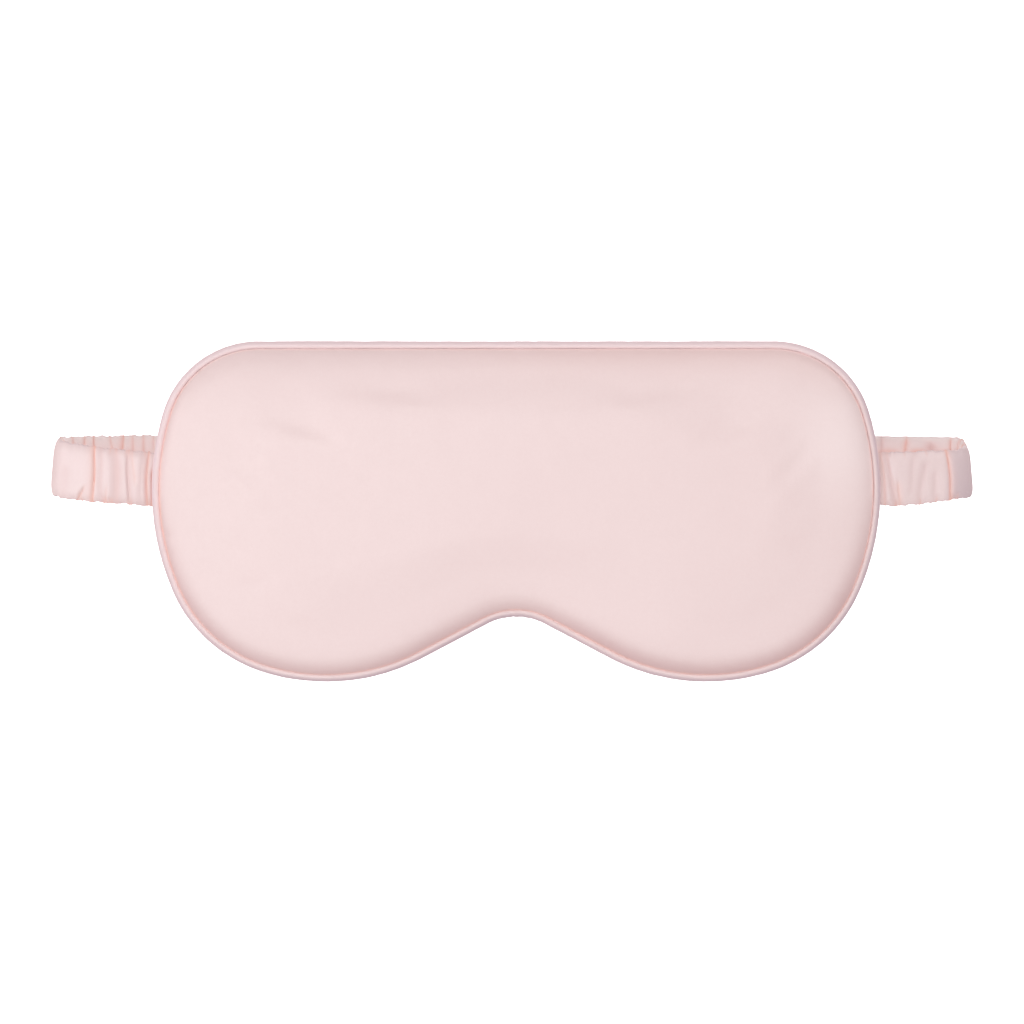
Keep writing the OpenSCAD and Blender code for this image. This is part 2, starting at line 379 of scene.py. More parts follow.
def panel_net(spacing=2.3, count=420):
    """Flat net of triangles inside the piping: rings along the seam, then a staggered grid."""
    p, n, _, _ = outline(count)
    rings = (RIM_INSET, 2.3, 2.65, 3.15, 3.9, 4.8, 5.9, 7.3, 9.0, 10.8)
    gap = 1.4
    loops = [p - n * d for d in rings]
    rim, rim_normals, _, _ = outline(2400)
    rows = []
    height = spacing * math.sqrt(3) / 2
    for j, z in enumerate(np.arange(-50, 50, height)):
        for x in np.arange(-105 + (j % 2) * spacing / 2, 105, spacing):
            rows.append((x, z))
    rows = np.array(rows)
    rows = rows[inside_outline(rows, rim)]
    rows = rows[inset_of(rows, rim)[0] > rings[-1] + gap]
    points = np.vstack(loops + [rows])
    edges = [(i, (i + 1) % count) for i in range(count)]
    out = delaunay_2d_cdt([tuple(q) for q in points], edges, [], 1, 1e-5)
    flat = np.array([tuple(v) for v in out[0]])
    faces = [tuple(f) for f in out[2]]
    inset, near = inset_of(flat, rim)
    return flat, faces, inset, rim_normals[near]


def inside_outline(points, rim):
    """Which points lie inside the closed outline, by counting its crossings."""
    a, b = rim, np.roll(rim, -1, axis=0)
    x, z = points[:, 0][:, None], points[:, 1][:, None]
    spans = (a[:, 1] > z) != (b[:, 1] > z)
    rise = np.where(b[:, 1] == a[:, 1], 1e-9, b[:, 1] - a[:, 1])
    crossing = x < (b[:, 0] - a[:, 0]) * (z - a[:, 1]) / rise + a[:, 0]
    return (spans & crossing).sum(1) % 2 == 1


def inflate(obj, pinned, pressure=4.0, frames=20):
    """Runs Blender's Cloth on obj with its seam pinned, and returns where the points end up."""
    group = obj.vertex_groups.new(name="seam")
    group.add([int(i) for i in pinned], 1.0, "REPLACE")
    cloth = obj.modifiers.new("cloth", "CLOTH")
    s = cloth.settings
    s.quality = 6
    s.mass = 0.2
    s.tension_stiffness = 12
    s.compression_stiffness = 12
    s.shear_stiffness = 6
    s.bending_stiffness = 0.4
    s.air_damping = 4
    s.vertex_group_mass = "seam"
    s.use_pressure = True
    s.uniform_pressure_force = pressure
    s.effector_weights.gravity = 0
    cloth.collision_settings.use_collision = False
    cloth.point_cache.frame_start = 1
    cloth.point_cache.frame_end = frames
    scene = bpy.context.scene
    scene.frame_start = 1
    scene.frame_end = frames
    for f in range(1, frames + 1):
        scene.frame_set(f)
    shape = obj.evaluated_get(bpy.context.evaluated_depsgraph_get()).to_mesh()
    out = np.empty(len(shape.vertices) * 3)
    shape.vertices.foreach_get("co", out)
    obj.modifiers.clear()
    obj.vertex_groups.clear()
    scene.frame_set(1)
    return out.reshape(-1, 3) / MM


def drift_2d(flat, seed, pitch):
    """Smooth two-dimensional noise from -1 to 1, made of slanting one-dimensional ones."""
    total = np.zeros(len(flat))
    for k in range(5):
        a = math.radians(36 * k + 11)
        along = flat[:, 0] * math.cos(a) + flat[:, 1] * math.sin(a)
        aside = flat[:, 1] * math.cos(a) - flat[:, 0] * math.sin(a)
        bent = along + 0.25 * pitch * smooth_noise(aside, seed + k + 50, pitch)
        total += smooth_noise(bent, seed + k, pitch)
    return total / 2.2


def round_the_rim(flat):
    """Rough distance round the mask, from each point's direction as seen from the middle."""
    return np.arctan2(flat[:, 1], flat[:, 0]) * MEAN_R


def puckers(flat, inset, up, seed):
    """Small gathers where the panel is sewn to the piping, strongest along the top."""
    run = round_the_rim(flat)
    size = 0.03 + 0.10 * np.maximum(up, 0) + 0.06 * np.clip(smooth_noise(run, seed, 30), 0, 1)
    wave = smooth_noise(run, seed + 1, 2.2) + 0.6 * smooth_noise(run, seed + 2, 4.5)
    fade = np.clip((inset - RIM_INSET) / 0.5, 0, 1) * np.exp(-(inset - RIM_INSET) / 2.5)
    return size * wave * fade


def dents(flat):
    """Pinched places at the front's seam: x, z, depth and width of each."""
    total = np.zeros(len(flat))
    for x, z, deep, wide in (
        (-101.0, -6.2, 0.7, 1.3),
        (83.0, 45.2, 0.5, 0.9),
        (-99.6, -12.0, 0.3, 1.0),
        (-1.2, -27.2, 0.35, 1.2),
        (-72.5, 46.6, 0.3, 1.0),
    ):
        total += deep * np.exp(-((flat[:, 0] - x) ** 2 + (flat[:, 1] - z) ** 2) / wide ** 2)
    return total


def pad_half(name, height, side, seed):
    """One satin panel over its wadding: side -1 is the front and 1 is the back."""
    flat, faces, inset, normals = panel_net()
    up = facing(normals[:, 1])
    rise = crown(inset, height, up)
    depth = np.maximum(inset - RIM_INSET, 0)
    sewn = depth < 0.05
    start = np.where(sewn, RIM_LIFT, 0.88 * rise + 0.12)
    points = np.column_stack([flat[:, 0], SEAM_Y + side * start, flat[:, 1]])
    if side > 0:
        faces = [f[::-1] for f in faces]
    obj = new_object(name, points, faces)
    gone = inflate(obj, np.nonzero(sewn)[0]) - points
    length = np.linalg.norm(gone, axis=1)[:, None]
    gone *= np.minimum(1, SWELL_CAP / np.maximum(length, 1e-9))
    gone[:, (0, 2)] *= np.clip(depth / 8, 0, 1)[:, None]
    points = points + gone
    lumps = 0.30 * drift_2d(flat, seed + 5, 34) + 0.08 * drift_2d(flat, seed + 15, 13)
    lift = side * (points[:, 1] - SEAM_Y)
    lift = np.clip(lift, rise - 0.2 * (depth > 0.2), rise + 0.6 * np.clip(depth / 3, 0, 1))
    lift += np.clip(depth / 12, 0, 1) * lumps + puckers(flat, inset, up, seed)
    if side < 0:
        lift -= dents(flat)
    at, top = zip(*WADDING_TOP)
    clearance, margin, least = 0.15, 0.6, 0.3
    over_wadding = np.interp(inset, at, top, left=0) * height / FRONT_CROWN + clearance
    lift = np.maximum(lift, np.where(inset > at[0] - margin, over_wadding, least))
    points[:, 1] = SEAM_Y + side * lift
    obj.data.vertices.foreach_set("co", (points * MM).ravel())
    obj.data.update()
    paint_pad(obj, side, seed, flat, depth, normals)
    refine(obj, 1)
    return obj


def paint_pad(obj, side, seed, flat, depth, normals):
    """Painted shade in the ditch beside the piping, in a warmer strip along the brow and along the
    steep roll, darkest on the lobes, and a painted light patch at the front's right."""
    brow = np.maximum(facing(normals[:, 1]), 0)
    # Painted shade in a strip along the brow, stronger towards the right.
    brow_shade = 0.09 * brow * np.clip(flat[:, 0] / 60 + 0.6, 0, 1) * np.exp(-(depth / 6) ** 2)
    wander = smooth_noise(round_the_rim(flat), seed + 3, 18)
    # Painted shade in the ditch beside the piping, lighter under the brow and wider where the piping
    # stands out.
    ditch = np.clip(0.88 + 0.16 * wander, 0.6, 1) * (1 - 0.74 * brow)
    ditch *= np.exp(-(depth / (0.3 + 0.30 * piping_shows(normals))) ** 2)
    paint(obj, "crease", np.maximum(brow_shade, ditch))
    # Painted shade on the steep roll beside the seam: darkest on the lobes and towards the right,
    # lighter under the nose.
    low = np.clip(-normals[:, 1] / 0.45, 0, 1) * (1 - 0.5 * np.exp(-(flat[:, 0] / 16) ** 2))
    right = np.clip(0.5 + flat[:, 0] / 100, 0, 1)
    roll_shade = np.exp(-(depth / (2.4 + low * (1 + 0.8 * right))) ** 2.4)
    roll_shade *= 1 - 0.7 * np.exp(-(depth / 0.4) ** 2)
    paint(obj, "edge", roll_shade * (0.03 + 0.08 * right + 0.02 * brow + 0.50 * low + 0.06 * low * right))
    # Painted light: a paler patch on the front's upper right.
    light_patch = np.exp(-((flat[:, 0] - 95) / 14) ** 2 - ((flat[:, 1] - 22) / 16) ** 2)
    paint(obj, "painted_light", 0.42 * light_patch * (side < 0))


def refine(obj, levels):
    """Subdivides a piece's surface and keeps the result as its mesh."""
    modifier = obj.modifiers.new("refine", "SUBSURF")
    modifier.levels = modifier.render_levels = levels
    shape = bpy.data.meshes.new_from_object(obj.evaluated_get(bpy.context.evaluated_depsgraph_get()))
    obj.modifiers.clear()
    obj.data = shape


def make_pad():
    """Both padded panels, which meet at the seam."""
    front = pad_half("pillow_front", FRONT_CROWN, -1, 11)
    dress(front, FACE)
    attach(front, "mask")
    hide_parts("front_panel")
    back = pad_half("pillow_back", BACK_CROWN, 1, 21)
    dress(back, BACK)
    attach(back, "mask")
    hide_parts("back_panel")


# ---------------------------------------------------------------- piping


def piping_shows(normals):
    """How far the piping stands out from the pad, from 0 along the brow to 1 along the cheeks."""
    return np.clip(0.45 - 0.3 * normals[:, 0] - normals[:, 1], 0, 1)


def make_piping(count=1500, sides=20):
    """Bias-cut satin round the cord, drawn tight with faint slanting creases, and fuller where
    it stands out from the pad."""
    p, n, run, _ = outline(count)
    angle = np.linspace(0, 2 * math.pi, sides, endpoint=False)
    out = np.cos(angle)[None]
    swell = 0.025 * smooth_noise(run, 31, 9) + 0.015 * smooth_noise(run, 32, 2.5)
    crease = 0.02 * smooth_noise(run[:, None] + 1.6 * angle, 33, 1.7)
    nose = np.exp(-(p[:, 0] / 5) ** 2) * (p[:, 1] < 0)
    gather = 0.10 * nose[:, None] * smooth_noise(run[:, None] + 0.6 * angle, 34, 1.1) * (out > -0.2)
    fuller = 1 + 0.13 * piping_shows(n)[:, None]
    r = PIPING_R * fuller * (1 + swell[:, None] + crease + gather)
    centre = p - n * PIPING_IN * fuller
    x = centre[:, :1] + n[:, :1] * r * out
    z = centre[:, 1:] + n[:, 1:] * r * out
    y = SEAM_Y + PIPING_FLAT * r * np.sin(angle)
    faces = grid_faces(count, sides, wrap_rows=True)
    obj = new_object("piping", np.dstack([x, y, z]).reshape(-1, 3), faces)
    # How far each place faces away from the light at the upper left, which sets the painted shade and
    # highlight below.
    away = (n @ np.array([0.6, -0.8]))[:, None]
    # Painted shade on the inner side of the tube, down in the ditch, wider where the piping stands out.
    tight = 0.3 + 0.3 * piping_shows(n)[:, None]
    paint(obj, "crease", (tight * np.clip(-out * 3 - 2.4, 0, 1)).ravel())
    # Painted shade along the outer rim, strongest on the lower and right sides that face away from the
    # light.
    rim = np.exp(-((out - 0.66) / (0.30 + 0.08 * np.clip(away, 0, 1))) ** 2)
    paint(obj, "edge", (np.clip(0.52 + 0.38 * away, 0.08, 0.88) * rim).ravel())
    # Painted highlight in a line along the tube a little inside its crown, stronger on the lower and
    # right sides.
    ridge_highlight = np.exp(-((out + 0.25) / 0.34) ** 2)
    paint(obj, "painted_light", (np.clip(0.5 + 0.2 * away, 0.2, 0.7) * ridge_highlight).ravel())
    dress(obj, TRIM)
    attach(obj, "mask")
    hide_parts("piping_casing")


def capsule(points, faces, start, end, radius, sag, sides=8, rings=9):
    """Adds one stitch: a thread that dips into the cloth at both ends."""
    base = len(points)
    for j in range(rings):
        t = 2 * j / (rings - 1) - 1
        centre = (start + end) / 2 + (end - start) / 2 * t + np.array([0, sag * t ** 4, 0])
        r = radius * math.sqrt(max(0.02, 1 - t ** 6))
        for i in range(sides):
            a = 2 * math.pi * i / sides
            points.append(centre + np.array([0, r * math.cos(a), r * math.sin(a)]))
    faces += [tuple(base + i for i in f) for f in grid_faces(rings, sides)]
    faces.append(tuple(base + i for i in range(sides))[::-1])
    faces.append(tuple(base + (rings - 1) * sides + i for i in range(sides)))


def make_stitches(first=-75.5, last=83.0, inset=2.35):
    """The closing seam's stitches, in the ditch under the top piping, from first to last along it."""
    p, n, run, total = outline(4000)
    ditch = p - n * inset
    run = np.where(run > total / 2, run - total, run)
    order = np.argsort(run)
    rng = np.random.default_rng(41)
    points, faces = [], []
    at = first
    while at < last:
        ends = []
        for s in (at, at + rng.uniform(1.8, 3.2)):
            x, z = (np.interp(s, run[order], ditch[order, k]) for k in (0, 1))
            ends.append(np.array([x, SEAM_Y - 1.0, z + rng.uniform(-0.06, 0.06)]))
        capsule(points, faces, ends[0], ends[1], 0.15, 0.5)
        at += rng.uniform(3.8, 4.7)
    obj = new_object("closing_thread", np.array(points), faces)
    dress(obj, THREAD)
    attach(obj, "mask")
    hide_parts("closing_stitches")


# ---------------------------------------------------------------- strap


def joint_at(name):
    """Place of a joint at rest, in millimetres."""
    found = [j for j in frame["joints"] if j["name"] == name][0]
    return np.array(found["pos_m"]) / MM


def strap_path(side):
    """Corners of the strap's centre line on the +X side, with each corner's rounding radius."""
    open_name = "strap_open" if side < 0 else "right_open"
    prefix = "left" if side < 0 else "right"
    corners = [np.array([99.0, STRAP_Y])]
    for name in (open_name, f"{prefix}_fold_front_turn", f"{prefix}_fold_rear_turn",
                 f"{prefix}_centre_turn"):
        at = joint_at(name)
        corners.append(np.array([abs(at[0]), at[1]]))
    corners.append(np.array([-TUCK if side < 0 else 0.0, corners[-1][1]]))
    for k in (2, 3):
        corners[k][0] += 1.1 if side < 0 else -1.3
    return corners, (12.0, 6.0, 6.0, 40.0)


def rotated(vector, angle):
    """A vector turned through an angle in radians."""
    c, s = math.cos(angle), math.sin(angle)
    return np.array([c * vector[0] - s * vector[1], s * vector[0] + c * vector[1]])


def rounded(corners, radii, step):
    """Points, headings and run along a polyline with rounded corners, and where its bends end."""
    points, headings, marks = [], [], []
    at = corners[0]
    run = 0.0
    for k in range(1, len(corners)):
        direction = (corners[k] - corners[k - 1]) / np.linalg.norm(corners[k] - corners[k - 1])
        heading = math.atan2(direction[1], direction[0])
        turn, trim = 0.0, 0.0
        if k < len(corners) - 1:
            onward = corners[k + 1] - corners[k]
            turn = math.atan2(onward[1], onward[0]) - heading
            trim = radii[k - 1] * math.tan(abs(turn) / 2)
        length = np.linalg.norm(corners[k] - at) - trim
        count = max(1, int(round(length / step)))
        for i in range(count):
            points.append(at + direction * length * i / count)
            headings.append(heading)
        at = at + direction * length
        run += length
        marks.append(run)
        if turn:
            r = radii[k - 1]
            count = max(2, int(round(abs(turn) * r / step)))
            left = np.array([-direction[1], direction[0]]) * math.copysign(1, turn)
            centre = at + left * r
            for i in range(count):
                points.append(centre + rotated(-left * r, turn * i / count))
                headings.append(heading + turn * i / count)
            at = centre + rotated(-left * r, turn)
            run += abs(turn) * r
            marks.append(run)
    points.append(at)
    headings.append(headings[-1])
    points = np.array(points)
    steps = np.linalg.norm(np.diff(points, axis=0), axis=1)
    return points, np.array(headings), np.concatenate([[0], np.cumsum(steps)]), marks


def valley(run, v, creases):
    """A field of rings by places across: 1 on a puff and 0 in a crease."""
    out = np.ones((len(run), len(v)))
    for at, skew, depth, low, high, width, bias in creases:
        reach = abs(skew) + 0.3 + 9 * width
        first, last = np.searchsorted(run, (at - reach, at + reach))
        line = at + skew * v + 0.2 * np.sin(3.1 * v + at)
        show = np.clip((v - low) / 0.3 + 0.5, 0, 1) * np.clip((high - v) / 0.3 + 0.5, 0, 1)
        gap = run[first:last, None] - line
        gap = np.abs(gap) / (width * np.where(gap > 0, 1 + bias, 1 - bias))
        out[first:last] *= 1 - depth * show * np.exp(-gap ** (1.0 if width < 0.9 else 1.8))
    return out


def ruching(total, seed, start):
    """Random creases from start to total: full-width folds and short gathers at both edges."""
    rng = np.random.default_rng(seed)
    creases = []
    at = start
    while at < total - 2:
        at += rng.uniform(2.6, 5.6)
        low, high = -1.4, 1.4
        kind = rng.uniform()
        if kind < 0.25:
            high = rng.uniform(-0.1, 0.6)
        elif kind < 0.5:
            low = rng.uniform(-0.6, 0.1)
        creases.append((at, rng.uniform(-1.2, 1.2), rng.uniform(0.5, 0.95), low, high,
                        rng.uniform(0.4, 1.5), rng.uniform(-0.5, 0.5)))
    for edge in (-1, 1):
        at = start
        while at < total:
            at += rng.uniform(1.2, 3.4)
            reach = rng.uniform(0.35, 0.85)
            low, high = (-1.4, -reach) if edge < 0 else (reach, 1.4)
            creases.append((at, rng.uniform(-1.0, 1.0), rng.uniform(0.4, 0.9), low, high,
                            rng.uniform(0.3, 0.6), rng.uniform(-0.3, 0.3)))
    return creases


def gathers(places, low, high, depth):
    """Short creases at one edge of the strap, at the given distances along it."""
    return [(at, 0.25 * math.sin(7 * at), depth, low, high, 0.32, 0.0) for at in places]


# Folds of the outer face that the front shows, on the left and on the right: distance along the
# strap from its start, skew, depth, lowest and highest place across, width, bias to one side.
# Places across run from -1 at the lower edge to 1 at the upper one, and 1.4 is past the edge.
LEFT_FOLDS = [
    (6.2, -0.3, 1.0, -1.4, 0.3, 0.45, 0.0), (7.7, -0.35, 1.0, -1.4, 1.4, 0.5, 0.0),
    (9.4, -0.3, 0.35, -1.4, 1.4, 1.0, 0.0), (11.4, 0.3, 0.4, -0.2, 1.4, 0.6, 0.2),
    (13.2, 0.0, 0.9, -1.4, 1.4, 0.8, -0.4), (16.8, 0.1, 0.85, -1.4, 1.4, 1.7, 0.0),
    (19.2, -1.2, 0.4, -1.4, -0.4, 0.5, 0.0), (21.3, 0.1, 0.6, -1.4, 1.4, 1.1, 0.2),
    (23.3, -0.25, 1.0, -1.4, 1.4, 0.65, 0.5), (24.3, -4.0, 0.9, -1.4, -0.5, 0.4, 0.0),
    (31.5, -0.8, 0.3, -1.4, 0.2, 1.6, 0.0),
] + gathers((7.4, 12.2, 13.7, 17.7, 18.6, 20.1, 20.9, 24.3, 27.3), -1.4, -0.84, 0.8)
LEFT_FOLDS += gathers((8.6, 12.7, 13.6, 16.7, 18.1, 22.8), 0.84, 1.4, 0.6)
RIGHT_FOLDS = [
    (7.3, -0.8, 0.6, -1.4, 1.4, 0.7, -0.3), (9.3, -1.5, 0.7, -1.4, 1.4, 1.0, -0.3),
    (11.4, -0.5, 0.6, -1.4, -0.1, 0.7, 0.0), (15.2, 0.9, 0.3, -0.6, 1.4, 1.2, 0.0),
    (18.6, 1.2, 0.4, -1.4, 0.6, 1.4, 0.0), (22.3, 0.5, 0.35, -1.4, 0.2, 1.2, 0.0),
    (26.6, -0.6, 1.0, -1.4, 1.4, 0.55, 0.3),
] + gathers((10.9, 17.9, 22.8, 27.4, 28.9), -1.4, -0.8, 0.75)
RIGHT_FOLDS += gathers((8.6, 13.4, 19.8, 25.6), 0.86, 1.4, 0.5)
# Creases of the rear part's inner face that the front shows above the front part, by distance
# from the mask's middle instead
LEFT_INNER = [
    (131.0, 0.4, 0.7, 0.3, 1.4, 0.5, 0.0), (127.9, 0.6, 0.8, 0.4, 1.1, 0.5, 0.0),
    (124.3, 0.0, 0.95, 0.2, 1.4, 0.35, 0.0), (118.4, -1.2, 0.6, 0.1, 1.2, 0.5, 0.0),
    (116.1, 0.2, 0.95, -0.4, 1.2, 0.6, -0.5), (113.4, 0.4, 0.6, -0.5, 1.4, 0.6, 0.0),
    (109.7, -0.5, 0.65, -0.5, 1.4, 0.5, 0.0), (107.4, 0.4, 0.5, 0.4, 1.4, 0.5, 0.0),
]
RIGHT_INNER = [
    (107.8, 0.2, 0.7, -1.0, 1.2, 0.8, 0.0), (114.6, -0.5, 0.9, -1.0, 0.95, 0.7, 0.0),
    (122.6, 0.2, 0.95, -1.0, 0.75, 1.9, 0.0), (128.7, 0.3, 0.9, 0.1, 1.0, 0.5, 0.0),
    (130.4, -1.5, 0.8, 0.1, 1.0, 0.45, 0.0),
]
WIDTH = 5  # where a crease's width stands in its row
# Skew, depth, reach, width and bias of the crease at each cut between two pieces of the strap
CUT_FOLD = (0.0, 0.9, -1.4, 1.4, 0.7, 0.0)
ACROSS = 29


def across():
    """Places across the strap of each face's points, closer together towards the edges."""
    return np.sin(np.linspace(-1, 1, ACROSS) * math.pi / 2)


def sewn_flat(run):
    """The strap is pressed flat where it enters the seam."""
    return 0.45 + 0.55 * np.clip((run - 5.5) / 3.5, 0, 1)[:, None]


def between(run, start, rise, end, fall):
    """0 outside start to end, and 1 inside once past the ramp at either end."""
    return np.clip((run - start) / rise, 0, 1) * np.clip((end - run) / fall, 0, 1)


def both_faces(layers):
    """Joins each layer's outer and inner face into one ring round the strap."""
    back = slice(ACROSS - 2, 0, -1)
    return [np.hstack([outer, inner[:, back]]) for outer, inner in layers]


def casing_form(side, run, v, outer, inner):
    """How far both faces of the casing stand off its middle, and the place across."""
    puffs = [valley(run, v, creases) for creases in (outer, inner)]
    edges = np.array([-1.0, 1.0])
    ends = np.minimum(*(valley(run, edges, creases) for creases in (outer, inner)))
    meeting = np.clip((run - run[-1] + 3.0) / 2.0, 0, 1)[:, None]
    puffs = [puff + (JOIN_PUFF - puff) * meeting for puff in puffs]
    ends = ends + (JOIN_PUFF - ends) * meeting
    if side > 0:
        ends[:, 1] += (1 - ends[:, 1]) * 0.75 * between(run, 46, 4, 86, 6)
        swell = -0.7 * np.exp(-((run - 29) / 6) ** 2)
    else:
        swell = 0.45 * np.exp(-((run - 33) / 11) ** 2)
    edge = (1 - np.abs(v) ** 5) ** 0.6
    shift = [sign * ((0.66 + 0.80 * puff) * edge * sewn_flat(run) + 0.1)
             for sign, puff in zip((1, -1), puffs)]
    teeth = CASING_HALF + swell[:, None] + 0.6 * (1 - ends)
    tucked_from = run[-1] - (TUCK + 0.3 if side < 0 else 0.6)
    tucked = np.clip((run - tucked_from) / 0.6, 0, 1)[:, None] * (1.0 if side < 0 else 0.8)
    shift = [(1 - 0.14 * tucked) * part for part in shift]
    wide = (1 - 0.025 * tucked) * np.where(v < 0, teeth[:, :1], teeth[:, 1:]) * v
    return shift, wide


def casing_paint(side, run, v, outer, inner):
    """Painted shade in the creases, along the edges and on the right side's turned end, a painted
    contact shadow where the folded strap lies on itself, and painted light on its inner face."""
    # Painted shade along both edges of the strap.
    shade = 0.35 * np.clip((np.abs(v) - 0.95) / 0.04, 0, 1)
    # Painted shade on the right side's turned end, which faces away from the light, darker low down.
    turned = 0.60 * between(run, 24.8, 3.2, 44, 12) * (side > 0)
    shaded = np.maximum(shade, turned[:, None] * (1 - 0.25 * v))
    # Painted contact shadow on the inner face, just above where the front part lies against the rear
    # part, fainter on the left.
    contact_shadow = between(run, 44, 6, 80, 6) * (0.3 if side < 0 else 1.0)
    contact_shadow = contact_shadow * np.clip(0.45 + 0.5 * smooth_noise(run, 57 + side, 4), 0.1, 0.9)
    sharp, broad = [], []
    for creases in (outer, inner):
        sharp.append(1 - valley(run, v, [c for c in creases if c[WIDTH] < BROAD]))
        broad.append(1 - valley(run, v, [c for c in creases if c[WIDTH] >= BROAD]))
    # Painted shade in the creases: strong in sharp ones, soft in broad ones.
    deep = [0.95 * a ** 1.2 + 0.35 * b ** 1.2 * (1 - a) for a, b in zip(sharp, broad)]
    deep[1] = np.maximum(deep[1], contact_shadow[:, None] * np.exp(-((v - 0.40) / 0.13) ** 2))
    # Painted shade on the edges, the turned end and the broad folds.
    painted_shade = [np.maximum(a, 0.5 * b) for a, b in zip((shaded, shade), broad)]
    plain = np.zeros_like(deep[0])
    # Painted light over the whole inner face, to lighten it.
    return deep, painted_shade, (plain, plain + 0.9)


def casing_shape(side, run, outer, inner):
    """Offset, place across, and the painted shade in creases, the other painted shade and the painted
    light of every point round the casing.
    """
    v = across()
    shift, wide = casing_form(side, run, v, outer, inner)
    deep, painted_shade, painted_light = casing_paint(side, run, v, outer, inner)
    return both_faces((shift, (wide, wide), deep, painted_shade, painted_light))


def elastic_shape(run):
    """The same for the flat elastic inside, which has no creases."""
    v = across()
    half = 0.5 * (1 - np.abs(v) ** 8) ** 0.5 * sewn_flat(run)
    wide = np.repeat(ELASTIC_HALF * v[None], len(run), axis=0)
    none = np.zeros_like(wide)
    return both_faces(((half, -half), (wide, wide), (none, none), (none, none), (none, none)))


def strap_height(side, run):
    """Height of the strap's middle, which climbs from the seam to the fold."""
    climb = np.clip((run - 6) / 38, 0, 1) if side < 0 else np.clip((run - 16) / 32, 0, 1)
    rise = 0.7 * np.exp(-((run - 36) / 9) ** 2) * (side < 0)
    return SEWN_Z + 2.3 * climb + rise


def strap_mesh(name, side, path, shape, first, last):
    """One length of casing or elastic, between two rings of the path."""
    points, headings, run = (part[first:last + 1] for part in path)
    shift, wide, crease, edge_shade, painted_light = (part[first:last + 1] for part in shape)
    outward = np.column_stack([np.sin(headings), -np.cos(headings)])
    lean = 0.10 * np.exp(-((run - 36) / 12) ** 2)
    off = shift - lean[:, None] * wide
    sewn_in = SEWN_IN * np.clip((6.0 - run) / 5.0, 0, 1)[:, None]
    x = side * (points[:, :1] + outward[:, :1] * off)
    y = points[:, 1:] + outward[:, 1:] * off - sewn_in
    z = strap_height(side, run)[:, None] + wide
    faces = grid_faces(*shift.shape)
    if side > 0:
        faces = [f[::-1] for f in faces]
    obj = new_object(name, np.dstack([x, y, z]).reshape(-1, 3), faces)
    # Painted shade in creases, other painted shade, and painted light, for the satin to read.
    paint(obj, "crease", crease.ravel())
    paint(obj, "edge", edge_shade.ravel())
    paint(obj, "painted_light", painted_light.ravel())
    return obj


def strap_creases(side, points, run, rear_start):
    """Creases of the outer and of the inner face: the ones that the front shows, and a random
    ruching everywhere else."""
    total = run[-1]
    shown_to = 104.0
    outer = ruching(total, 51 + side, 38)
    outer += LEFT_FOLDS if side < 0 else RIGHT_FOLDS
    rear = np.arange(len(run)) >= np.argmax(run > rear_start)
    inner = [c for c in ruching(total, 61 + side, 6)
             if not (run[rear][0] < c[0] and np.interp(c[0], run, points[:, 0]) > shown_to)]
    for x, *rest in LEFT_INNER if side < 0 else RIGHT_INNER:
        inner.append((np.interp(-x, -points[rear, 0], run[rear]), *rest))
    return outer, inner


def strap_spans(corners, radii):
    """For each length of the strap: its name, its two bodies, the CAD pieces it stands for, and
    where on the path the bend between the bodies starts and ends."""
    dirs = [(b - a) / np.linalg.norm(b - a) for a, b in zip(corners, corners[1:])]
    front = radii[1] * math.tan(math.radians(40))
    rear = radii[2] * math.tan(math.radians(41.5))
    return (
        ("seam", "mask", "end", ("anchor", "end"),
         np.array([103.4, STRAP_Y]), np.array([107.6, STRAP_Y])),
        ("side", "end", "side", ("side",),
         np.array([108.4, STRAP_Y]), corners[1] + dirs[1] * 3.0),
        ("fold_front", "side", "fold_front", ("fold_front",),
         corners[2] - dirs[1] * front, corners[2] + dirs[2] * front),
        ("fold", "fold_front", "fold_rear", ("fold_rear",),
         corners[2] + dirs[2] * (front + 0.3), corners[3] - dirs[2] * (rear + 0.3)),
        ("rear", "fold_rear", "rear", ("rear",),
         corners[3] - dirs[2] * rear, corners[3] + dirs[3] * rear),
        ("centre", "rear", "centre", ("centre",),
         corners[4] - dirs[3] * 8, corners[4] + dirs[4] * 8),
    )


def cad_pieces(prefix, stems, kind):
    """The CAD nodes that a piece stands for. Both halves of the fold share one elastic."""
    nodes = [f"{prefix}_{stem}_{kind}".replace("fold_front_elastic", "fold_elastic") for stem in stems]
    return [node for node in nodes if node in frame["nodes"]]


def make_strap(side):
    """The strap from one side of the mask to the middle of its back, cut into six lengths, each of
    casing and of elastic, in place of the CAD strap's pieces.
    """
    prefix = "left" if side < 0 else "right"
    corners, radii = strap_path(side)
    points, headings, run, marks = rounded(corners, radii, 0.25)
    outer, inner = strap_creases(side, points, run, marks[4])
    seam_cut = 9.6
    side_cut = 23.3 if side < 0 else 26.6
    front_cut = marks[3] + 0.35
    rear_cut = marks[4] - 0.35
    back_cut = (marks[5] + marks[6]) / 2
    cuts = [0, seam_cut, side_cut, front_cut, rear_cut, back_cut, run[-1]]
    outer += [(at, *CUT_FOLD) for at in (front_cut, rear_cut, back_cut)]
    inner += [(at, *CUT_FOLD) for at in (seam_cut, side_cut, front_cut, rear_cut, back_cut)]
    rings = [int(np.argmin(np.abs(run - cut))) for cut in cuts]
    path = (points, headings, run)
    layers = (
        ("casing", casing_shape(side, run, outer, inner), RUCHED, "strap_satin"),
        ("elastic", elastic_shape(run), ELASTIC, "elastic"),
    )
    for k, (name, a, b, stems, start, end) in enumerate(strap_spans(corners, radii)):
        for kind, shape, material, slot in layers:
            obj = strap_mesh(f"{prefix}_strap_{name}_{kind}", side, path, shape, rings[k], rings[k + 1])
            dress(obj, material)
            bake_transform(obj)
            nodes = cad_pieces(prefix, stems, kind)
            if nodes:
                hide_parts(*nodes)


